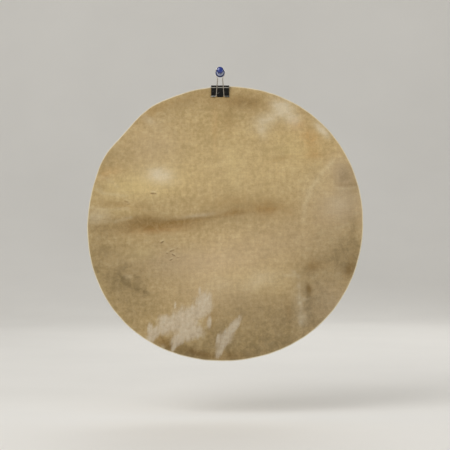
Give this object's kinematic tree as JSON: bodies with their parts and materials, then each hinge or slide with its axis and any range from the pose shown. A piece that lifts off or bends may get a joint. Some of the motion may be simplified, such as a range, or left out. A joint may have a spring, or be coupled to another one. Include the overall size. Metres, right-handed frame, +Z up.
{
  "type": "drum skin with hanging clip",
  "caption": "Flat round drum skin of dried hide, gripped at its edge by a small spring clip whose wire handle hangs on a push pin.",
  "frame": {"origin": "the point where the needle's axis enters the wall's face, in the middle of the pin", "axes": "+Z up along the hanging skin, its longest extent; +Y into the wall, square to the skin, its shortest extent; +X to the right as seen from the front"},
  "size_m": [0.2946, 0.0253, 0.3128],
  "materials": {
    "pin_plastic": "clear blue moulded plastic, polished",
    "needle_steel": "drawn steel, bright",
    "wire": "nickel-plated spring wire",
    "clip_black": "black enamel on spring steel, bright along its bends",
    "rawhide": "undyed dried rawhide, mottled, matt, with a pale cut edge"
  },
  "bodies": {
    "pin": {"pin_head": "pin_plastic", "pin_needle": "needle_steel"},
    "front_handle": {"front_handle": "wire"},
    "front_jaw": {"clip_front_jaw": "clip_black"},
    "spine": {"clip_spine": "clip_black"},
    "back_jaw": {"clip_back_jaw": "clip_black"},
    "back_handle": {"back_handle": "wire"},
    "skin": {"drum_skin": "rawhide"}
  },
  "joints": [
    {"name": "loop_swing", "type": "hinge", "parent": "pin", "child": "front_handle", "pos_m": [0, -0.01447, 0.00203], "axis": [0, 1, 0], "range_deg": [-30, 30]},
    {"name": "clip_lift", "type": "hinge", "parent": "front_handle", "child": "front_jaw", "pos_m": [0, -0.00576, -0.02375], "axis": [-1, 0, 0], "range_deg": [0, 100]},
    {"name": "front_bend", "type": "hinge", "parent": "front_jaw", "child": "spine", "pos_m": [0, -0.00805, -0.01378], "axis": [1, 0, 0], "range_deg": [0, 20], "stiffness_Nm_per_rad": 0.1, "springref_deg": -17.19},
    {"name": "back_bend", "type": "hinge", "parent": "spine", "child": "back_jaw", "pos_m": [0, -0.00035, -0.01378], "axis": [1, 0, 0], "range_deg": [0, 20]},
    {"name": "back_handle_turn", "type": "hinge", "parent": "back_jaw", "child": "back_handle", "pos_m": [0, -0.00264, -0.02375], "axis": [1, 0, 0], "range_deg": [0, 162]},
    {"name": "skin_pull", "type": "slide", "parent": "front_jaw", "child": "skin", "axis": [0, 0, -1], "range_m": [0, 0.02]}
  ],
  "couplings": [
    {"joint": "back_bend", "follows": "front_bend", "ratio": 1}
  ]
}
